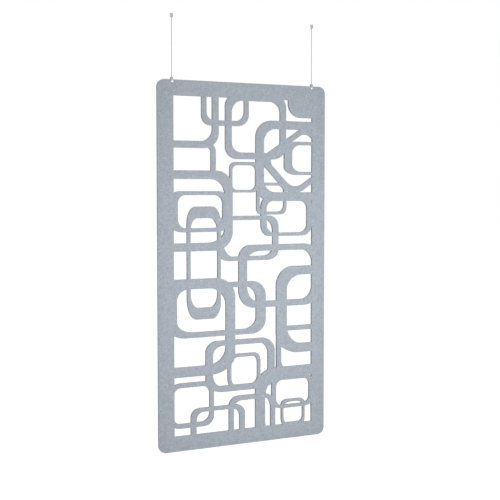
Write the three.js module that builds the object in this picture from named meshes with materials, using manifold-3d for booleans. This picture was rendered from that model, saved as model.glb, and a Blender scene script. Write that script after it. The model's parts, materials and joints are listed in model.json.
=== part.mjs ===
// Hanging room divider: a stiff felt panel, cut through as a lattice of overlapping rounded
// rings inside a plain border, that hangs from the ceiling on two short steel cables.
// Millimetres, +Z up. The origin lies on the ceiling, midway between the two fixings.
// The panel stands in the XZ plane: X is its width, and its front looks towards -Y.
import * as THREE from 'three';
import { mergeVertices } from 'three/addons/utils/BufferGeometryUtils.js';
import Module from 'manifold-3d';

const wasm = await Module();
wasm.setup();

// ---- Driving sizes ----

// Panel
const PANEL_WIDTH = 600;
const PANEL_HEIGHT = 1200;
const FELT_THICKNESS = 9;
const PANEL_CORNER = 25;
const LEFT_STILE = 54;
const RIGHT_STILE = 48;
const TOP_RAIL = 50;
const BOTTOM_RAIL = 49;
const CORNER_STEPS = 7;

// Where the panel hangs
const DROP = 208;               // ceiling to the panel's top edge
const CABLE_INSET = 50;         // panel's side edge to the cable

// Fit between separate pieces
const FIT_GAP = 0.3;
const TURN_STEPS = 24;

// Cable and the balls pressed on its two ends
const CABLE_DIAMETER = 1.5;
const CABLE_STEPS = 12;
const BALL_DIAMETER = 5;
const BALL_FLAT = 2.1;          // the ball's flat ends, from its centre
const CABLE_PAST_BALL = 1.5;    // the cable's end, past the ball's centre
const SWAY_LIMIT = 10;          // degrees that a cable leans sideways in its balls

// Ceiling fixing: a base screwed to the ceiling, with a cap screwed over it
const FIXING_DIAMETER = 10;
const FIXING_HEIGHT = 13;
const FLANGE_THICKNESS = 3;
const NECK_LENGTH = 2.8;
const SCREW_HOLE = 3.4;
const COUNTERSINK = 5.6;
const CAP_WALL = 1.3;
const CAP_FLOOR = 2;
const CAP_CHAMFER = 0.6;
const OUTLET_DIAMETER = 3.8;    // where the ball seats, on the cap's floor
const OUTLET_MOUTH = 5.4;       // flared, so that the cable can lean

// Clevis: a bent strap over the panel's top edge, clamped by a two-part post
const STRAP_THICKNESS = 0.8;
const ARCH_RISE = 8;            // top of the strap above the panel's edge
const ARCH_WIDTH = 6.4;
const PAD_DIAMETER = 9;         // round end of each leg
const POST_DEPTH = 5;           // post's axis below the panel's edge
const CABLE_HOLE = 3.8;         // in the top of the arch
const POST_DIAMETER = 4;
const POST_HEAD = 9;
const HEAD_RIM = 0.6;
const HEAD_CROWN = 0.6;
const HEAD_EDGE = 0.3;
const POST_WALL = 0.7;
const POST_BLIND = 2;           // solid metal behind the front head
const SLOT_WIDTH = 0.9;
const SLOT_DEPTH = 0.6;

// ---- Places that follow from the sizes ----

const cableX = PANEL_WIDTH / 2 - CABLE_INSET;
const edgeZ = -DROP;
const face = FELT_THICKNESS / 2;
const strapFace = face + STRAP_THICKNESS;
const postZ = edgeZ - POST_DEPTH;
const ballRadius = BALL_DIAMETER / 2;
const cableRadius = CABLE_DIAMETER / 2;
const SIDES = { left: -cableX, right: cableX };

// A ball rests on the rim of a round hole, FIT_GAP clear of it.
const aboveRim = (holeRadius) => Math.sqrt((ballRadius + FIT_GAP) ** 2 - holeRadius ** 2);
const capFloorZ = -FIXING_HEIGHT + CAP_FLOOR;
const upperBallZ = capFloorZ + aboveRim(OUTLET_DIAMETER / 2);

// Inside, the strap's arch is half a circle as wide as the felt is thick. The rim of the
// cable hole is lowest where it meets the sides of that arch.
const archZ = edgeZ + ARCH_RISE - strapFace;
const archRimZ = archZ + Math.sqrt(face ** 2 - (CABLE_HOLE / 2) ** 2);
const lowerBallZ = archRimZ - aboveRim(CABLE_HOLE / 2);

// ---- Materials ----

const finish = (color, roughness, metalness) =>
  new THREE.MeshStandardMaterial({ color, roughness, metalness });
const felt = finish(0xa4abb4, 0.95, 0);
const nickel = finish(0x8f9193, 0.35, 0.9);
const wire = finish(0x9c9ea0, 0.4, 0.9);
const brightHead = finish(0xe9ebee, 0.25, 0.4);

// ---- Ways of making a solid ----

// A piece turned on a lathe: its profile holds [radius, height] points.
function turned(profile, steps = TURN_STEPS) {
  const points = profile.map(([radius, height]) => new THREE.Vector2(radius, height));
  return new THREE.LatheGeometry(points, steps);
}

// The same, standing up along Z.
const turnedUpright = (profile, steps) => turned(profile, steps).rotateX(Math.PI / 2);

// A shape drawn in the XZ plane, given a thickness centred on y = 0.
function board(shape, thickness) {
  const options = { depth: thickness, bevelEnabled: false, curveSegments: CORNER_STEPS };
  const geometry = new THREE.ExtrudeGeometry(shape, options);
  return geometry.rotateX(Math.PI / 2).translate(0, thickness / 2, 0);
}

function solid(geometry) {
  const bare = geometry.index ? geometry.toNonIndexed() : geometry.clone();
  bare.deleteAttribute('normal');
  bare.deleteAttribute('uv');
  const merged = mergeVertices(bare);
  const vertProperties = Float32Array.from(merged.attributes.position.array);
  const triVerts = Uint32Array.from(merged.index.array);
  return new wasm.Manifold(new wasm.Mesh({ numProp: 3, vertProperties, triVerts }));
}

function geometryOf(manifold) {
  const mesh = manifold.getMesh();
  const geometry = new THREE.BufferGeometry();
  geometry.setAttribute('position', new THREE.BufferAttribute(mesh.vertProperties, 3));
  geometry.setIndex(new THREE.BufferAttribute(mesh.triVerts, 1));
  geometry.computeVertexNormals();
  return geometry;
}

// A round hole's cutter along Y, or along Z when it is upright.
function drill(diameter, length, { x = 0, y = 0, z = 0, upright = false }) {
  const cutter = new THREE.CylinderGeometry(diameter / 2, diameter / 2, length, TURN_STEPS);
  if (upright) cutter.rotateX(Math.PI / 2);
  return solid(cutter.translate(x, y, z));
}

// ---- The lattice ----

// A box with elliptical corners, traced from its bottom edge round to the left.
// box: [left, bottom, right, top]. corners: one [across, up] radius for all four, or four,
// for the lower left, lower right, upper right and upper left.
function roundedBox(path, box, corners) {
  const [left, bottom, right, top] = box;
  const [ll, lr, ur, ul] = Array.isArray(corners[0]) ? corners : Array(4).fill(corners);
  const turn = Math.PI / 2;
  path.moveTo(left + ll[0], bottom);
  path.lineTo(right - lr[0], bottom);
  path.absellipse(right - lr[0], bottom + lr[1], lr[0], lr[1], -turn, 0);
  path.lineTo(right, top - ur[1]);
  path.absellipse(right - ur[0], top - ur[1], ur[0], ur[1], 0, turn);
  path.lineTo(left + ul[0], top);
  path.absellipse(left + ul[0], top - ul[1], ul[0], ul[1], turn, 2 * turn);
  path.lineTo(left, bottom + ll[1]);
  path.absellipse(left + ll[0], bottom + ll[1], ll[0], ll[1], 2 * turn, 3 * turn);
  return path;
}

// A ring: its outside box, the width of its band on the left, below, on the right and
// above, and the corners outside and inside.
function ringShape({ box, band, outside, inside }) {
  const [left, bottom, right, top] = box;
  const shape = roundedBox(new THREE.Shape(), box, outside);
  const hole = [left + band[0], bottom + band[1], right - band[2], top - band[3]];
  shape.holes.push(roundedBox(new THREE.Path(), hole, inside));
  return shape;
}

// The rings are drawn on a sheet, in millimetres from the window's lower left corner. The
// sheet is stretched to the window. Rings that run off it are cut by the border.
const SHEET = { width: 498, height: 1101 };
const LEFT = -80;
const RIGHT = 640;
const TOP = 1220;
const BOTTOM = -80;

const RINGS = [
  // Upper left
  {
    box: [96, 1009, 262, TOP], band: [17, 17, 16, 16],
    outside: [[32, 32], [38, 38], [36, 36], [36, 36]],
    inside: [[26, 26], [30, 30], [27, 27], [27, 27]],
  },
  {
    box: [LEFT, 935, 155, TOP], band: [20, 23, 22, 20],
    outside: [50, 50], inside: [[38, 38], [40, 40], [38, 38], [38, 38]],
  },
  {
    box: [LEFT, 837, 145, 958], band: [17, 17, 17, 21],
    outside: [36, 36], inside: [14, 14],
  },
  {
    box: [LEFT, 601, 204, 863], band: [27, 27, 28, 28],
    outside: [[60, 60], [62, 62], [58, 58], [60, 60]],
    inside: [[44, 44], [56, 44], [48, 48], [44, 44]],
  },
  {
    box: [-16, 663, 192, 796], band: [30, 13, 23, 13],
    outside: [[46, 46], [38, 38], [38, 38], [38, 38]],
    inside: [[30, 30], [28, 28], [28, 28], [26, 26]],
  },
  {
    box: [45, 378, 162, 746], band: [12, 38, 11, 38],
    outside: [[32, 69], [31, 55], [31, 55], [31, 55]],
    inside: [[28, 45], [26, 42], [27, 44], [23, 39]],
  },

  // Upper middle
  {
    box: [179, 901, 399, 1115], band: [22, 22, 22, 22],
    outside: [[44, 40], [51, 45], [45, 40], [45, 40]],
    inside: [[33, 33], [34, 34], [36, 36], [40, 40]],
  },
  {
    box: [194, 791, 298, 892], band: [9, 9, 11, 11],
    outside: [21, 21], inside: [[16, 16], [20, 20], [18, 18], [18, 18]],
  },
  {
    box: [151, 565, 371, 714], band: [11, 15, 21, 14],
    outside: [[40, 40], [41, 33], [35, 38], [36, 36]],
    inside: [[43, 91], [34, 30], [27, 40], [30, 30]],
  },

  // Upper right
  {
    box: [288, 762, RIGHT, 1031], band: [29, 30, 29, 28],
    outside: [57, 57], inside: [[41, 41], [42, 42], [42, 42], [44, 44]],
  },
  {
    box: [291, 717, 401, 824], band: [11, 10, 10, 10],
    outside: [[20, 21], [23, 24], [26, 28], [26, 28]], inside: [20, 20],
  },
  {
    box: [307, 644, 499, 781], band: [20, 12, 20, 18],
    outside: [[34, 37], [39, 43], [36, 40], [35, 38]],
    inside: [[30, 30], [27, 27], [27, 27], [25, 25]],
  },
  {
    box: [393, 850, RIGHT, 963], band: [29, 11, 29, 12],
    outside: [49, 27], inside: [33, 26],
  },
  {
    box: [408, 1043, RIGHT, TOP], band: [120, 80, 20, 20],
    outside: [49, 46], inside: [20, 20],
  },

  // Middle
  {
    box: [226, 406, 518, 617], band: [30, 21, 19, 21],
    outside: [[54, 61], [50, 40], [50, 40], [44, 44]],
    inside: [[42, 53], [40, 47], [40, 48], [49, 32]],
  },
  {
    box: [364, 244, RIGHT, 541], band: [39, 31, 39, 30],
    outside: [[82, 72], [60, 60], [60, 60], [64, 66]],
    inside: [[59, 64], [50, 50], [50, 50], [56, 50]],
  },
  {
    box: [-9, 319, 324, 496], band: [19, 18, 35, 18],
    outside: [[50, 22], [51, 49], [50, 50], [50, 30]],
    inside: [[60, 35], [44, 38], [36, 44], [39, 37]],
  },

  // Lower left
  {
    box: [LEFT, 192, 213, 511], band: [33, 33, 33, 33],
    outside: [[70, 70], [94, 62], [67, 65], [70, 70]], inside: [61, 57],
  },
  {
    box: [-14, 25, 137, 173], band: [13, 15, 15, 15],
    outside: [[40, 17], [35, 35], [36, 36], [40, 20]],
    inside: [[21, 24], [30, 27], [25, 27], [24, 21]],
  },
  {
    box: [57, BOTTOM, 248, 86], band: [19, 18, 19, 13],
    outside: [[33, 30], [33, 30], [33, 30], [32, 29]],
    inside: [[27, 29], [27, 29], [27, 29], [25, 26]],
  },

  // Lower middle
  {
    box: [109, 132, 358, 303], band: [25, 20, 25, 17],
    outside: [[60, 40], [46, 46], [46, 48], [42, 38]],
    inside: [[29, 39], [40, 45], [32, 38], [37, 29]],
  },
  {
    box: [187, 140, 305, 255], band: [12, 12, 11, 11],
    outside: [[23, 33], [24, 34], [20, 29], [26, 38]],
    inside: [[16, 23], [20, 26], [18, 25], [23, 32]],
  },
  {
    box: [191, BOTTOM, 360, 114], band: [17, 17, 17, 16],
    outside: [[40, 40], [40, 40], [45, 42], [35, 33]],
    inside: [[20, 20], [20, 20], [21, 37], [29, 26]],
  },

  // Lower right
  {
    box: [287, BOTTOM, RIGHT, 198], band: [35, 35, 35, 34],
    outside: [72, 70], inside: [51, 68],
  },
  {
    box: [365, 179, RIGHT, 337], band: [17, 15, 17, 16],
    outside: [20, 20], inside: [18, 31],
  },
  {
    box: [347, 56, 500, 167], band: [16, 11, 11, 14],
    outside: [[51, 15], [41, 14], [24, 24], [24, 24]], inside: [22, 24],
  },
  {
    box: [383, -5, 472, 85], band: [8, 10, 8, 9],
    outside: [[14, 26], [13, 24], [20, 14], [22, 16]],
    inside: [[14, 20], [13, 19], [26, 16], [26, 16]],
  },
];

// One ring stands on a corner: it is drawn upright about its middle, turned and flattened.
const TURNED_RING = {
  box: [-118, -99, 114, 101], band: [24, 21, 21, 21],
  outside: [[55, 55], [42, 42], [42, 42], [42, 42]],
  inside: [[44, 44], [30, 30], [30, 30], [32, 32]],
};
const TURNED_CENTRE = [453, 897];
const TURN = THREE.MathUtils.degToRad(39);
const FLATTEN = 0.83;

function latticeRings(thickness, [left, bottom, right, top]) {
  const upright = RINGS.map((ring) => board(ringShape(ring), thickness));
  const onCorner = board(ringShape(TURNED_RING), thickness)
    .rotateY(-TURN)
    .scale(1, 1, FLATTEN)
    .translate(TURNED_CENTRE[0], 0, TURNED_CENTRE[1]);
  return [...upright, onCorner].map((geometry) => solid(geometry
    .scale((right - left) / SHEET.width, 1, (top - bottom) / SHEET.height)
    .translate(left, 0, bottom)));
}

function panelGeometry() {
  const outline = [-PANEL_WIDTH / 2, edgeZ - PANEL_HEIGHT, PANEL_WIDTH / 2, edgeZ];
  const corner = [PANEL_CORNER, PANEL_CORNER];
  const shape = roundedBox(new THREE.Shape(), outline, corner);
  const sheet = solid(board(shape, FELT_THICKNESS));

  // Border and rings are made thicker than the felt, and the felt sheet trims them, so its
  // two faces stay single flat faces.
  const thick = FELT_THICKNESS + 2;
  const left = outline[0] + LEFT_STILE;
  const bottom = outline[1] + BOTTOM_RAIL;
  const right = outline[2] - RIGHT_STILE;
  const top = outline[3] - TOP_RAIL;
  const border = roundedBox(new THREE.Shape(), outline, corner);
  border.holes.push(new THREE.Path([
    new THREE.Vector2(left, bottom),
    new THREE.Vector2(right, bottom),
    new THREE.Vector2(right, top),
    new THREE.Vector2(left, top),
  ]));
  let lattice = solid(board(border, thick));
  for (const ring of latticeRings(thick, [left, bottom, right, top])) {
    lattice = lattice.add(ring);
  }

  let panel = sheet.intersect(lattice);
  for (const x of Object.values(SIDES)) {
    panel = panel.subtract(drill(POST_DIAMETER + 2 * FIT_GAP, thick, { x, z: postZ }));
  }
  return geometryOf(panel);
}

// ---- Ceiling fixing, about its own axis ----

const neckRadius = FIXING_DIAMETER / 2 - CAP_WALL - FIT_GAP;
const flangeZ = -FLANGE_THICKNESS;
const neckZ = flangeZ - NECK_LENGTH;

function ceilingBase() {
  const sinkDepth = (COUNTERSINK - SCREW_HOLE) / 2;
  return turnedUpright([
    [SCREW_HOLE / 2, 0],
    [SCREW_HOLE / 2, neckZ + sinkDepth],
    [COUNTERSINK / 2, neckZ],
    [neckRadius, neckZ],
    [neckRadius, flangeZ],
    [FIXING_DIAMETER / 2, flangeZ],
    [FIXING_DIAMETER / 2, 0],
    [SCREW_HOLE / 2, 0],
  ]);
}

function ceilingCap() {
  const outside = FIXING_DIAMETER / 2;
  return turnedUpright([
    [outside - CAP_WALL, flangeZ],
    [outside - CAP_WALL, capFloorZ],
    [OUTLET_DIAMETER / 2, capFloorZ],
    [OUTLET_MOUTH / 2, -FIXING_HEIGHT],
    [outside - CAP_CHAMFER, -FIXING_HEIGHT],
    [outside, -FIXING_HEIGHT + CAP_CHAMFER],
    [outside, flangeZ],
    [outside - CAP_WALL, flangeZ],
  ]);
}

// ---- Cable and its balls ----

// The ball's bore is narrowest at its centre and flares to both ends as much as the cable
// leans in it. Measured about the ball's centre.
function ball() {
  const waist = cableRadius + FIT_GAP;
  const flare = Math.tan(THREE.MathUtils.degToRad(SWAY_LIMIT));
  const profile = [[waist, 0]];
  const mouth = Math.atan((waist + flare * BALL_FLAT) / BALL_FLAT);
  const steps = TURN_STEPS / 3;
  for (let i = 0; i <= steps; i += 1) {
    const angle = Math.PI - mouth - (i / steps) * (Math.PI - 2 * mouth);
    profile.push([ballRadius * Math.sin(angle), ballRadius * Math.cos(angle)]);
  }
  profile.push([waist, 0]);
  return turnedUpright(profile);
}

function cable() {
  const top = upperBallZ + CABLE_PAST_BALL;
  const bottom = lowerBallZ - CABLE_PAST_BALL;
  const rod = new THREE.CylinderGeometry(cableRadius, cableRadius, top - bottom, CABLE_STEPS);
  return rod.rotateX(Math.PI / 2).translate(0, 0, (top + bottom) / 2);
}

// ---- Clevis ----

function clevis() {
  const footZ = postZ - PAD_DIAMETER / 2;
  const topZ = edgeZ + ARCH_RISE;

  // The strap, seen along X: two legs and an arch.
  const strap = new THREE.Shape();
  strap.moveTo(-strapFace, footZ);
  strap.lineTo(-face, footZ);
  strap.lineTo(-face, archZ);
  strap.absarc(0, archZ, face, Math.PI, 0, true);
  strap.lineTo(face, footZ);
  strap.lineTo(strapFace, footZ);
  strap.lineTo(strapFace, archZ);
  strap.absarc(0, archZ, strapFace, 0, Math.PI, false);
  const bent = new THREE.ExtrudeGeometry(strap, {
    depth: PAD_DIAMETER, bevelEnabled: false, curveSegments: TURN_STEPS / 2,
  });
  const alongX = new THREE.Matrix4().makeBasis(
    new THREE.Vector3(0, 1, 0), new THREE.Vector3(0, 0, 1), new THREE.Vector3(1, 0, 0));
  bent.applyMatrix4(alongX).translate(-PAD_DIAMETER / 2, 0, 0);

  // Its outline, seen from the front: narrow over the top, with a round pad at each leg.
  const outline = new THREE.Shape();
  outline.moveTo(PAD_DIAMETER / 2, postZ);
  outline.lineTo(ARCH_WIDTH / 2, topZ);
  outline.lineTo(-ARCH_WIDTH / 2, topZ);
  outline.lineTo(-PAD_DIAMETER / 2, postZ);
  outline.absarc(0, postZ, PAD_DIAMETER / 2, Math.PI, 2 * Math.PI, false);
  const options = { depth: 4 * strapFace, bevelEnabled: false, curveSegments: TURN_STEPS / 2 };
  const cookie = new THREE.ExtrudeGeometry(outline, options);
  cookie.rotateX(Math.PI / 2).translate(0, 2 * strapFace, 0);

  const made = solid(bent)
    .intersect(solid(cookie))
    .subtract(drill(POST_DIAMETER + 2 * FIT_GAP, 4 * strapFace, { z: postZ }))
    .subtract(drill(CABLE_HOLE, 2 * strapFace, { z: topZ, upright: true }));
  return geometryOf(made);
}

// A head's crown, from the axis out to its rim, for a head that faces along +Y.
function crown(seat) {
  const rim = POST_HEAD / 2;
  const top = seat + HEAD_RIM + HEAD_CROWN;
  const steps = 4;
  const points = [];
  for (let i = 0; i <= steps; i += 1) {
    const across = i / steps;
    points.push([(rim - HEAD_EDGE) * across, top - HEAD_CROWN * across ** 2]);
  }
  points.push([rim, seat + HEAD_RIM - HEAD_EDGE]);
  points.push([rim, seat]);
  return points;
}

// The post's front half: a plain bright head on a bored barrel that fills the hole.
function postBarrel() {
  const outer = POST_DIAMETER / 2;
  const bore = outer - POST_WALL;
  const end = FIT_GAP - strapFace;
  const blind = strapFace - POST_BLIND;
  return turned([
    [0, blind],
    [bore, blind],
    [bore, end],
    [outer, end],
    [outer, strapFace],
    ...crown(strapFace).reverse(),
  ]).rotateX(Math.PI).translate(0, 0, postZ);
}

// The post's rear half: a slotted head whose shank screws into the barrel.
function postScrew() {
  const shank = POST_DIAMETER / 2 - POST_WALL - FIT_GAP;
  const end = FIT_GAP + POST_BLIND - strapFace;
  const screw = turned([
    [0, end],
    [shank, end],
    [shank, strapFace],
    ...crown(strapFace).reverse(),
  ]);
  const slot = new THREE.BoxGeometry(POST_HEAD, 2 * SLOT_DEPTH, SLOT_WIDTH);
  slot.translate(0, strapFace + HEAD_RIM + HEAD_CROWN, 0);
  return geometryOf(solid(screw).subtract(solid(slot))).translate(0, 0, postZ);
}

// ---- Assembly ----

function piece(name, geometry, material, x = 0, z = 0) {
  const mesh = new THREE.Mesh(geometry, material);
  mesh.name = name;
  mesh.position.set(x, 0, z);
  return mesh;
}

const divider = new THREE.Group();
divider.add(piece('panel', panelGeometry(), felt));
for (const [side, x] of Object.entries(SIDES)) {
  divider.add(
    piece(`ceiling_base_${side}`, ceilingBase(), nickel, x),
    piece(`ceiling_cap_${side}`, ceilingCap(), nickel, x),
    piece(`upper_stop_${side}`, ball(), nickel, x, upperBallZ),
    piece(`cable_${side}`, cable(), wire, x),
    piece(`lower_stop_${side}`, ball(), nickel, x, lowerBallZ),
    piece(`clevis_${side}`, clevis(), nickel, x),
    piece(`post_barrel_${side}`, postBarrel(), brightHead, x),
    piece(`post_screw_${side}`, postScrew(), nickel, x),
  );
}

export default divider;
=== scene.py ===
"""The looks of a hanging felt room divider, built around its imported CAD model.

Metres, +Z up. The origin lies on the ceiling, midway between the two ceiling fixings, and
the panel's front looks towards -Y.
"""

import json
import math

import bpy
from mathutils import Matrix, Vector


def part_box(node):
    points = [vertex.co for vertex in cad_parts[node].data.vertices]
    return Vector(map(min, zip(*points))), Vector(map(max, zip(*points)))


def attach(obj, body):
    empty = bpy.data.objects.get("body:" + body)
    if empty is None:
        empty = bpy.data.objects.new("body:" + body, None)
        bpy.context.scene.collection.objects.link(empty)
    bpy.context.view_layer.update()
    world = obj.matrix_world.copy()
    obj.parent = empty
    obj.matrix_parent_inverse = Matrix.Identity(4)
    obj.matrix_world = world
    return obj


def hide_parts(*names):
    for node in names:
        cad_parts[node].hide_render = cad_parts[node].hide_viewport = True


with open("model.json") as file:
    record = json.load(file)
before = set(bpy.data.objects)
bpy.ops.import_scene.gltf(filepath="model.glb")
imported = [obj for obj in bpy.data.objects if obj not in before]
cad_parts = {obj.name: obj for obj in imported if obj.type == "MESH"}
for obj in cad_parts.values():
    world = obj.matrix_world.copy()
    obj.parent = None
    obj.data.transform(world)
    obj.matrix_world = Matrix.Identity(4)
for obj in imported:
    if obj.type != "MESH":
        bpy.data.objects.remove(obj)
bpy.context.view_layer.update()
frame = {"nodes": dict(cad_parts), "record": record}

MM = 0.001
SIDES = ("left", "right")

# ---- The camera, about where the photographer stood ----

CAMERA_PLACE = (-1.1559, -2.68934, -0.55267)
CAMERA_TURN = 0.41277           # radians, from looking along +Y towards +X
CAMERA_TILT = 0.04761           # radians, down
IMAGE_SIDE = 500                # pixels, of the square photograph
FOCAL_LENGTH = 883.35           # pixels
FRAME_SHIFT = -0.04             # of the image's side: the frame reaches further down
SENSOR = 36.0                   # millimetres

# ---- The fittings' sizes, in millimetres, as in the CAD source ----
# The widths of bores, holes, mouths, barrels and shanks are radii.

CABLE_RADIUS = 0.75
BALL_RADIUS = 2.5
BALL_FLAT = 2.1                 # the ball's flat ends, from its centre
BALL_BORE = 1.05                # at its narrowest
BALL_MOUTH = 1.42
FIXING_RADIUS = 5
FIXING_HEIGHT = 13
FLANGE = 3                      # thickness of the base's disc
NECK_RADIUS = 3.4
NECK_END = 5.8                  # below the ceiling
SCREW_HOLE = 1.7
COUNTERSINK = 2.8
CAP_BORE = 3.7
CAP_FLOOR = 2                   # thickness
CAP_CHAMFER = 0.6
OUTLET = 1.9                    # the hole in the cap's floor, where the ball rests
OUTLET_MOUTH = 2.7              # and where the cable leaves it
POST_RADIUS = 2
POST_BORE = 1.3
POST_SHANK = 1.0
POST_SEAT = 5.3                 # the underside of a post's head, from the felt's middle
POST_GAP = 0.3                  # between a post half's end and the other half
POST_BLIND = 2                  # solid metal behind the front head
HEAD_RADIUS = 4.5
HEAD_RIM = 0.6                  # height of the head's straight rim
HEAD_CROWN = 0.6                # and of its crown, above the rim
HEAD_EDGE = 0.3                 # chamfer between the two
SLOT_WIDTH = 0.9
SLOT_DEPTH = 0.6
SLOT_REACH = 2.2 * HEAD_RADIUS  # out past the head's rim on both sides

# ---- How finely things are made ----

TURN_STEPS = 64
BALL_STEPS = 20
CROWN_STEPS = 8
STRANDS = 6
STRAND_RADIUS = 0.25            # millimetres
STRAND_SIDES = 8
LAY = 9                         # millimetres of cable for one turn of a strand
LAY_STEPS = 14
LONGEST_ARC_STEP = 22           # millimetres between two points of the CAD panel's arcs
ARC_CUTS = 2                    # more points between those
FELT_EDGE = 0.5                 # millimetres that the felt's cut edges are rounded
METAL_EDGE = 0.12               # and the fittings' edges
SLOT_EDGE = 0.06                # and a slotted head's
MERGE = 0.002 * MM
SMOOTH_BELOW = math.radians(34)
STRAND_SMOOTH_BELOW = math.radians(60)
FLAT_BELOW = math.radians(0.5)


# ---- The way a piece is made ----


def only(piece):
    """Selects this object alone, as the active one."""
    bpy.ops.object.select_all(action="DESELECT")
    piece.select_set(True)
    bpy.context.view_layer.objects.active = piece
    return piece


def edit(piece, kind="VERT"):
    """Opens the piece in edit mode, with nothing selected."""
    only(piece)
    bpy.ops.object.mode_set(mode="EDIT")
    bpy.ops.mesh.select_mode(type=kind)
    bpy.ops.mesh.select_all(action="DESELECT")


def done():
    bpy.ops.object.mode_set(mode="OBJECT")


def pick_faces(piece, wanted):
    """Selects the faces whose normal is wanted, and stays in edit mode."""
    edit(piece, "FACE")
    done()
    for face in piece.data.polygons:
        face.select = wanted(face.normal)
    bpy.ops.object.mode_set(mode="EDIT")


def pick_edges(piece, wanted):
    """Selects the edges whose two ends are wanted, and stays in edit mode."""
    edit(piece, "EDGE")
    done()
    points = piece.data.vertices
    for line in piece.data.edges:
        line.select = wanted(*(points[i].co for i in line.vertices))
    bpy.ops.object.mode_set(mode="EDIT")


def settle(piece):
    """Puts the piece's place, turn and size into its mesh."""
    only(piece)
    bpy.ops.object.transform_apply(location=True, rotation=True, scale=True)
    return piece


def modify(piece, kind, **settings):
    """Adds a modifier and applies it."""
    only(piece)
    modifier = piece.modifiers.new(kind.title(), kind)
    for name, value in settings.items():
        setattr(modifier, name, value)
    bpy.ops.object.modifier_apply(modifier=modifier.name)
    return piece


def rounded(piece, width, segments=2):
    """Rounds the piece's sharp edges, and shades its curved sides smooth."""
    modify(piece, "BEVEL", width=width * MM, segments=segments, limit_method="ANGLE",
           angle_limit=SMOOTH_BELOW)
    bpy.ops.object.shade_smooth_by_angle(angle=SMOOTH_BELOW)
    return piece


def copied(node, name):
    """A merged copy of a CAD node's mesh, with its flat faces made whole."""
    piece = frame["nodes"][node].copy()
    piece.data = piece.data.copy()
    piece.parent = None
    piece.name = name
    for key in list(piece.keys()):
        del piece[key]
    piece.data.materials.clear()
    bpy.context.scene.collection.objects.link(piece)
    edit(piece)
    bpy.ops.mesh.select_all(action="SELECT")
    bpy.ops.mesh.remove_doubles(threshold=MERGE)
    bpy.ops.mesh.dissolve_limited(angle_limit=FLAT_BELOW)
    done()
    return piece


def turned(name, profile):
    """Turns a closed profile of (radius, height) points, in millimetres, about the Z axis."""
    points = [Vector((radius, 0, height)) * MM for radius, height in profile]
    bpy.ops.object.select_all(action="DESELECT")
    bpy.ops.mesh.primitive_plane_add(size=MM)
    piece = bpy.context.object
    piece.name = name
    edit(piece)
    bpy.ops.mesh.select_all(action="SELECT")
    bpy.ops.mesh.merge(type="CENTER")
    bpy.ops.transform.translate(value=points[0])
    for here, there in zip(points, points[1:] + points[:1]):
        bpy.ops.mesh.extrude_vertices_move(
            TRANSFORM_OT_translate={"value": there - here})
    bpy.ops.mesh.select_all(action="SELECT")
    bpy.ops.mesh.remove_doubles(threshold=MERGE)
    bpy.ops.mesh.select_all(action="SELECT")
    bpy.ops.mesh.spin(
        steps=TURN_STEPS, angle=2 * math.pi, center=(0, 0, 0), axis=(0, 0, 1))
    bpy.ops.mesh.select_all(action="SELECT")
    bpy.ops.mesh.remove_doubles(threshold=MERGE)
    bpy.ops.mesh.normals_make_consistent(inside=False)
    done()
    return piece


def placed(piece, x, z, lie=0.0):
    """Moves the piece to its place, in metres. lie turns it about X first, in degrees."""
    piece.rotation_euler = (math.radians(lie), 0, 0)
    piece.location = (x, 0, z)
    return settle(piece)


def middle(node):
    low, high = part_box(node)
    return (low + high) / 2


def cable_x(side):
    return middle(f"cable_{side}").x


def dressed(piece, finish, node):
    """Lets the piece stand for its CAD node, on that node's body.

    It gets this finish, unless its faces have theirs already.
    """
    if not piece.data.materials:
        piece.data.materials.append(finish)
    bodies = frame["record"]["behaviour"]["bodies"]
    body = next(name for name, nodes in bodies.items() if node in nodes)
    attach(piece, body)
    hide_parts(node)
    return piece


# ---- Shader maths ----


class Reading:
    """A shader socket. Python's operators on it add the Math nodes."""

    def __init__(self, graph, socket):
        self.graph = graph
        self.socket = socket

    def maths(self, operation, *terms):
        return self.graph.node("Math", {"operation": operation}, dict(enumerate(terms)))

    def __add__(self, other):
        return self.maths("ADD", self, other)

    def __radd__(self, other):
        return self.maths("ADD", other, self)

    def __sub__(self, other):
        return self.maths("SUBTRACT", self, other)

    def __rsub__(self, other):
        return self.maths("SUBTRACT", other, self)

    def __mul__(self, other):
        return self.maths("MULTIPLY", self, other)

    def __rmul__(self, other):
        return self.maths("MULTIPLY", other, self)


class Graph:
    """The nodes of a material or of the world, and the one way of adding to them."""

    def __init__(self, owner):
        owner.use_nodes = True
        self.owner = owner
        self.tree = owner.node_tree
        self.tree.nodes.clear()

    def node(self, kind, settings=None, inputs=None, output=0):
        """Adds a node: its settings first, then the values or links of its sockets."""
        made = self.tree.nodes.new("ShaderNode" + kind)
        for name, value in (settings or {}).items():
            if name == "stops":
                for place, _ in value[1:-1]:
                    made.color_ramp.elements.new(place)
                for element, (place, colour) in zip(made.color_ramp.elements, value):
                    element.position = place
                    element.color = (*colour, 1)
            else:
                setattr(made, name, value)
        for name, value in (inputs or {}).items():
            if isinstance(value, Reading):
                self.tree.links.new(value.socket, made.inputs[name])
            else:
                made.inputs[name].default_value = value
        outputs = made.outputs
        return Reading(self, outputs[output]) if outputs else None

    def noise(self, place, size, detail=3.0, stretch=(1, 1, 1), turn=0.0):
        """Noise whose blotches are about that many millimetres across.

        Along each axis they are stretched that many times, and then turned about Y.
        """
        spread = self.node("Mapping", {"vector_type": "TEXTURE"}, {
            "Vector": place, "Scale": stretch, "Rotation": (0, math.radians(turn), 0),
        })
        return self.node("TexNoise", inputs={
            "Vector": spread, "Scale": 1 / (size * MM), "Detail": detail,
            "Roughness": 0.6,
        })


def linear(red, green, blue):
    """A colour as the screen shows it, 0 to 255, as the shader's light level."""
    levels = (value / 255 for value in (red, green, blue))
    return tuple(
        level / 12.92 if level <= 0.04045 else ((level + 0.055) / 1.055) ** 2.4
        for level in levels
    )


# ---- Finishes ----

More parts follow.
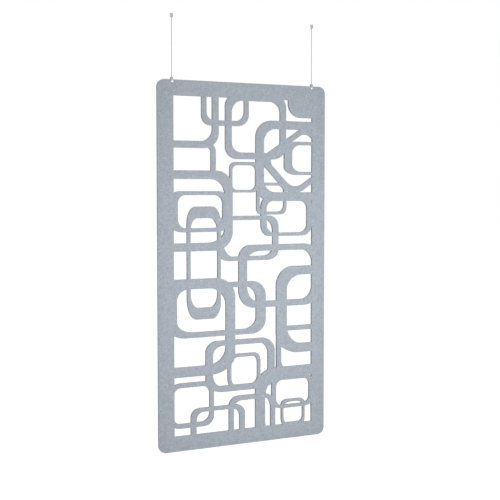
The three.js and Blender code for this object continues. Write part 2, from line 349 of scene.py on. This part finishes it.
CLUMP = 9                       # millimetres across a clump of the felt's fibres
FLECK = 2.8                     # millimetres across a fleck of one grey
FIBRE = 0.45                    # millimetres across a fibre
FIBRE_STRETCH = (1, 1, 7)       # it is this many times as long
FIBRE_TURNS = (12, 68, 130)     # degrees from upright
CLUMP_SHARE = 0.2               # how much each of them changes the grey
FLECK_SHARE = 0.6
FIBRE_SHARE = 0.62
MIDDLE_GREY = 0.29              # taken off, so that the mean lies between the two greys
DARKEST = 0.28                  # below this the grey is the dark one
PALEST = 0.72                   # and above this the pale one
FLECK_RELIEF = 0.4              # of a fibre's height
LAYER = 6                       # millimetres, before it is pressed flat
LAYER_STRETCH = (2.5, 0.15, 2.5)
LAYER_SHARE = 0.4               # of a cut wall's grey
GLOSS_CLOUD = 1.6               # millimetres across a cloud in a metal's gloss


def felt(name, pale, dark, layered=False):
    """Pressed felt: fibres of a few greys, blotched where they clump. A cut wall is layered."""
    graph = Graph(bpy.data.materials.new(name))
    place = graph.node("TexCoord", output="Object")
    clumps = graph.noise(place, CLUMP, detail=4)
    flecks = graph.noise(place, FLECK, detail=3)
    fibres = graph.noise(place, FIBRE, detail=2, stretch=FIBRE_STRETCH, turn=FIBRE_TURNS[0])
    for turn in FIBRE_TURNS[1:]:
        more = graph.noise(place, FIBRE, detail=2, stretch=FIBRE_STRETCH, turn=turn)
        fibres = fibres.maths("MAXIMUM", fibres, more)
    grain = CLUMP_SHARE * clumps + FLECK_SHARE * flecks + FIBRE_SHARE * fibres - MIDDLE_GREY
    if layered:
        layers = graph.noise(place, LAYER, detail=2, stretch=LAYER_STRETCH)
        grain = (1 - LAYER_SHARE) * grain + LAYER_SHARE * layers
    stops = [(DARKEST, dark), (PALEST, pale)]
    colour = graph.node("ValToRGB", {"stops": stops}, {"Fac": grain})
    normal = graph.node("Bump", inputs={
        "Strength": 0.5, "Distance": 0.25 * MM, "Height": fibres + FLECK_RELIEF * flecks,
    })
    shader = graph.node("BsdfPrincipled", inputs={
        "Base Color": colour, "Roughness": 0.95, "Specular IOR Level": 0.15,
        "Sheen Weight": 0.12, "Sheen Roughness": 0.6, "Normal": normal,
    })
    graph.node("OutputMaterial", inputs={"Surface": shader})
    return graph.owner


def metal(name, colour, roughness, wear=0.08):
    """Plated metal, a little uneven in its gloss."""
    graph = Graph(bpy.data.materials.new(name))
    place = graph.node("TexCoord", output="Object")
    cloud = graph.noise(place, GLOSS_CLOUD, detail=3)
    shader = graph.node("BsdfPrincipled", inputs={
        "Base Color": (*colour, 1), "Metallic": 1.0,
        "Roughness": roughness + wear * (cloud - 0.5),
    })
    graph.node("OutputMaterial", inputs={"Surface": shader})
    return graph.owner


FELT_FACE = felt("felt face", linear(201, 209, 218), linear(141, 149, 158))
# The cut walls are layered felt, and their pale grey is a little darker than the face's:
# painted shade for the walls that look sideways.
SHADED_FELT_WALL = felt("felt cut wall with painted shade", linear(192, 197, 204), linear(140, 146, 153), layered=True)
NICKEL = metal("satin nickel", linear(174, 175, 178), 0.32)
# The wire's grey is darker than bare steel: steel's own colour, darkened further as painted
# shade for the shade between the strands.
WIRE = metal("steel wire", linear(90, 91, 93), 0.38)
BRIGHT = metal("bright plate", linear(198, 201, 207), 0.36, wear=0.06)


# ---- Camera and cables ----


def camera():
    bpy.ops.object.camera_add(
        location=CAMERA_PLACE,
        rotation=(math.pi / 2 - CAMERA_TILT, 0, -CAMERA_TURN),
    )
    eye = bpy.context.object
    eye.data.sensor_width = SENSOR
    eye.data.lens = SENSOR * FOCAL_LENGTH / IMAGE_SIDE
    eye.data.shift_y = FRAME_SHIFT
    bpy.context.scene.camera = eye


def cable(side):
    """A wire rope: strands laid round a core, each strand's circle screwed up the cable."""
    low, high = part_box(f"cable_{side}")
    length = high.z - low.z
    turns = round(length / (LAY * MM))
    bpy.ops.object.select_all(action="DESELECT")
    bpy.ops.mesh.primitive_circle_add(vertices=STRAND_SIDES, radius=STRAND_RADIUS * MM)
    piece = bpy.context.object
    piece.name = f"wire_rope_{side}"
    edit(piece)
    bpy.ops.mesh.select_all(action="SELECT")
    lay_radius = (CABLE_RADIUS - STRAND_RADIUS) * MM
    bpy.ops.transform.translate(value=(lay_radius, 0, 0))
    bpy.ops.mesh.spin(
        steps=STRANDS, angle=2 * math.pi, dupli=True, center=(0, 0, 0), axis=(0, 0, 1))
    bpy.ops.mesh.select_all(action="SELECT")
    bpy.ops.mesh.remove_doubles(threshold=MERGE)
    done()
    modify(piece, "SCREW", axis="Z", screw_offset=length / turns, iterations=turns,
           steps=LAY_STEPS, render_steps=LAY_STEPS, use_merge_vertices=False)
    edit(piece)
    bpy.ops.mesh.select_non_manifold()
    bpy.ops.mesh.fill_holes(sides=0)
    bpy.ops.mesh.select_all(action="SELECT")
    bpy.ops.mesh.normals_make_consistent(inside=False)
    done()
    bpy.ops.object.select_all(action="DESELECT")
    bpy.ops.mesh.primitive_cylinder_add(
        vertices=STRAND_SIDES, radius=STRAND_RADIUS * MM, depth=length,
        location=(0, 0, length / 2), end_fill_type="TRIFAN")
    core = bpy.context.object
    only(piece)
    core.select_set(True)
    bpy.ops.object.join()
    bpy.ops.object.shade_smooth_by_angle(angle=STRAND_SMOOTH_BELOW)
    return placed(piece, cable_x(side), low.z)


camera()
CABLES = {side: cable(side) for side in SIDES}


# ---- The felt panel ----


def on_a_wall(normal):
    """Whether a face of the board looks sideways, and not to the front or the back."""
    return abs(normal.y) < 0.5


def finely_arced(board):
    """Puts more points on the arcs of a board's outline and holes, along the same arcs.

    The two faces come off first, so that the walls alone say how the arcs bend, and the
    walls are parted at their sharp corners, so that these stay sharp.
    """
    pick_faces(board, lambda normal: not on_a_wall(normal))
    bpy.ops.mesh.delete(type="FACE")
    bpy.ops.mesh.select_mode(type="EDGE")
    bpy.ops.mesh.edges_select_sharp(sharpness=SMOOTH_BELOW)
    bpy.ops.mesh.edge_split(type="EDGE")
    done()
    pick_edges(board, lambda start, end: start.y * end.y > 0
               and (end - start).length < LONGEST_ARC_STEP * MM)
    bpy.ops.mesh.subdivide(number_cuts=ARC_CUTS, smoothness=1)
    bpy.ops.mesh.select_all(action="SELECT")
    bpy.ops.mesh.remove_doubles(threshold=MERGE)
    done()
    for side in (-1, 1):
        pick_edges(board, lambda start, end: side * start.y > 0 and side * end.y > 0)
        bpy.ops.mesh.fill()
        done()
    edit(board)
    bpy.ops.mesh.select_all(action="SELECT")
    bpy.ops.mesh.normals_make_consistent(inside=False)
    bpy.ops.mesh.dissolve_limited(angle_limit=FLAT_BELOW)
    done()
    return board


def panel():
    """The cut felt, its edges a little rounded, with its cut walls told from its faces: they
    get a layered felt whose pale grey is darkened as painted shade.
    """
    piece = rounded(finely_arced(copied("panel", "felt_panel")), FELT_EDGE)
    piece.data.materials.append(FELT_FACE)
    piece.data.materials.append(SHADED_FELT_WALL)
    pick_faces(piece, on_a_wall)
    piece.active_material_index = 1
    bpy.ops.object.material_slot_assign()
    done()
    return piece


dressed(panel(), FELT_FACE, "panel")


# ---- Turned profiles ----


def ball_profile():
    """A ball with a bore that flares to both of its flat ends."""
    mouth = math.acos(BALL_FLAT / BALL_RADIUS)
    points = [(BALL_BORE, 0), (BALL_MOUTH, BALL_FLAT)]
    for i in range(BALL_STEPS + 1):
        angle = mouth + i / BALL_STEPS * (math.pi - 2 * mouth)
        radius = max(BALL_RADIUS * math.sin(angle), BALL_MOUTH)
        points.append((radius, BALL_RADIUS * math.cos(angle)))
    points.append((BALL_MOUTH, -BALL_FLAT))
    return points


def base_profile():
    sink = COUNTERSINK - SCREW_HOLE
    return [
        (SCREW_HOLE, 0), (SCREW_HOLE, sink - NECK_END), (COUNTERSINK, -NECK_END),
        (NECK_RADIUS, -NECK_END), (NECK_RADIUS, -FLANGE), (FIXING_RADIUS, -FLANGE),
        (FIXING_RADIUS, 0),
    ]


def cap_profile():
    floor = CAP_FLOOR - FIXING_HEIGHT
    return [
        (CAP_BORE, -FLANGE), (CAP_BORE, floor), (OUTLET, floor),
        (OUTLET_MOUTH, -FIXING_HEIGHT), (FIXING_RADIUS - CAP_CHAMFER, -FIXING_HEIGHT),
        (FIXING_RADIUS, CAP_CHAMFER - FIXING_HEIGHT), (FIXING_RADIUS, -FLANGE),
    ]


def head_profile():
    """A post's crowned head, from the rim of its seat up to the axis."""
    top = POST_SEAT + HEAD_RIM + HEAD_CROWN
    points = [(HEAD_RADIUS, POST_SEAT), (HEAD_RADIUS, POST_SEAT + HEAD_RIM - HEAD_EDGE)]
    for i in range(CROWN_STEPS + 1):
        across = 1 - i / CROWN_STEPS
        points.append(((HEAD_RADIUS - HEAD_EDGE) * across, top - HEAD_CROWN * across ** 2))
    return points


def barrel_profile():
    """The post's front half, standing with its head up: a bored barrel."""
    blind = POST_SEAT - POST_BLIND
    end = POST_GAP - POST_SEAT
    return [
        (0, blind), (POST_BORE, blind), (POST_BORE, end), (POST_RADIUS, end),
        (POST_RADIUS, POST_SEAT), *head_profile(),
    ]


def screw_profile():
    """The post's rear half, standing with its head up: a plain shank."""
    end = POST_GAP + POST_BLIND - POST_SEAT
    return [(0, end), (POST_SHANK, end), (POST_SHANK, POST_SEAT), *head_profile()]


# ---- Fittings ----


def slotted(piece):
    """Cuts a screwdriver slot across the head of a post that stands head up."""
    top = POST_SEAT + HEAD_RIM + HEAD_CROWN
    bpy.ops.object.select_all(action="DESELECT")
    bpy.ops.mesh.primitive_cube_add(size=1, location=(0, 0, top * MM))
    cutter = bpy.context.object
    cutter.scale = Vector((SLOT_REACH, SLOT_WIDTH, 2 * SLOT_DEPTH)) * MM
    settle(cutter)
    modify(piece, "BOOLEAN", operation="DIFFERENCE", solver="EXACT", object=cutter)
    bpy.data.objects.remove(cutter)
    return piece


def ceiling_fixing(side):
    """The base on the ceiling, and the cap over its neck."""
    x = cable_x(side)
    base = placed(rounded(turned(f"base_{side}", base_profile()), METAL_EDGE), x, 0)
    cap = placed(rounded(turned(f"cap_{side}", cap_profile()), METAL_EDGE), x, 0)
    dressed(base, NICKEL, f"ceiling_base_{side}")
    dressed(cap, NICKEL, f"ceiling_cap_{side}")


def clamp(side):
    """The post's two halves, through the felt, and the strap over the felt's edge."""
    x = cable_x(side)
    z = middle(f"post_barrel_{side}").z
    barrel = rounded(turned(f"post_front_{side}", barrel_profile()), METAL_EDGE)
    barrel = placed(barrel, x, z, lie=90)
    screw = rounded(slotted(turned(f"post_rear_{side}", screw_profile())), SLOT_EDGE)
    screw = placed(screw, x, z, lie=-90)
    strap = rounded(copied(f"clevis_{side}", f"strap_{side}"), METAL_EDGE)
    dressed(barrel, BRIGHT, f"post_barrel_{side}")
    dressed(screw, NICKEL, f"post_screw_{side}")
    dressed(strap, NICKEL, f"clevis_{side}")


def balls(side):
    """The balls pressed on the cable's two ends."""
    made = []
    for end in ("upper", "lower"):
        ball = rounded(turned(f"{end}_ball_{side}", ball_profile()), METAL_EDGE)
        ball = placed(ball, cable_x(side), middle(f"{end}_stop_{side}").z)
        made.append(dressed(ball, NICKEL, f"{end}_stop_{side}"))
    return made


def hung(side):
    ends = balls(side)
    rope = dressed(CABLES[side], WIRE, f"cable_{side}")


for side in SIDES:
    ceiling_fixing(side)
    clamp(side)
    hung(side)


# ---- Studio ----

FLOOR_Z = -2.4                  # a room's height below the ceiling
FLOOR_SIDE = 60
ROOM_LIGHT = 0.5                # how much of a colour's level the room's light gives
FLOOR_GLOW = 0.62               # lifts the lit floor to white in the camera's eyes
CENTRE = Vector((0, 0, -0.85))  # of the panel, roughly: the lamps look at it


def seen_directly(graph):
    """1 where the camera sees the surface, straight, mirrored or through glass."""
    camera_ray = graph.node("LightPath", output="Is Camera Ray")
    glossy_ray = graph.node("LightPath", output="Is Glossy Ray")
    glass_ray = graph.node("LightPath", output="Is Transmission Ray")
    return camera_ray.maths("MAXIMUM", camera_ray, glossy_ray.maths(
        "MAXIMUM", glossy_ray, glass_ray))


def room():
    """Even white light from all round, in front of a white background."""
    world = bpy.data.worlds.new("room")
    bpy.context.scene.world = world
    graph = Graph(world)
    seen = seen_directly(graph)
    strength = ROOM_LIGHT + (1 - ROOM_LIGHT) * seen
    light = graph.node("Background", inputs={"Color": (1, 1, 1, 1), "Strength": strength})
    graph.node("OutputWorld", inputs={"Surface": light})


def floor():
    """A plain pale floor, which the camera sees as white but for the divider's shadow."""
    bpy.ops.object.select_all(action="DESELECT")
    bpy.ops.mesh.primitive_plane_add(size=FLOOR_SIDE, location=(0, 0, FLOOR_Z))
    ground = bpy.context.object
    ground.name = "floor"
    graph = Graph(bpy.data.materials.new("floor"))
    pale = graph.node("BsdfDiffuse", inputs={"Color": (0.9, 0.9, 0.9, 1)})
    glow = graph.node("Emission", inputs={
        "Color": (1, 1, 1, 1), "Strength": FLOOR_GLOW * seen_directly(graph),
    })
    both = graph.node("AddShader", inputs={0: pale, 1: glow})
    graph.node("OutputMaterial", inputs={"Surface": both})
    ground.data.materials.append(graph.owner)


def softbox(name, place, side, watts):
    """A square lamp that looks at the panel's middle."""
    bpy.ops.object.light_add(type="AREA", location=place)
    lamp = bpy.context.object
    lamp.name = name
    lamp.rotation_euler = (CENTRE - Vector(place)).to_track_quat("-Z", "Y").to_euler()
    lamp.data.size = side
    lamp.data.energy = watts
    lamp.visible_camera = False


room()
floor()
softbox("front light", (0.2, -1.25, -0.8), 0.6, 9)
softbox("side light", (-2.6, -1.4, 0.3), 1.4, 8)
softbox("back light", (0.8, 2.6, 0.2), 1.6, 34)
bpy.context.scene.view_settings.view_transform = "Standard"
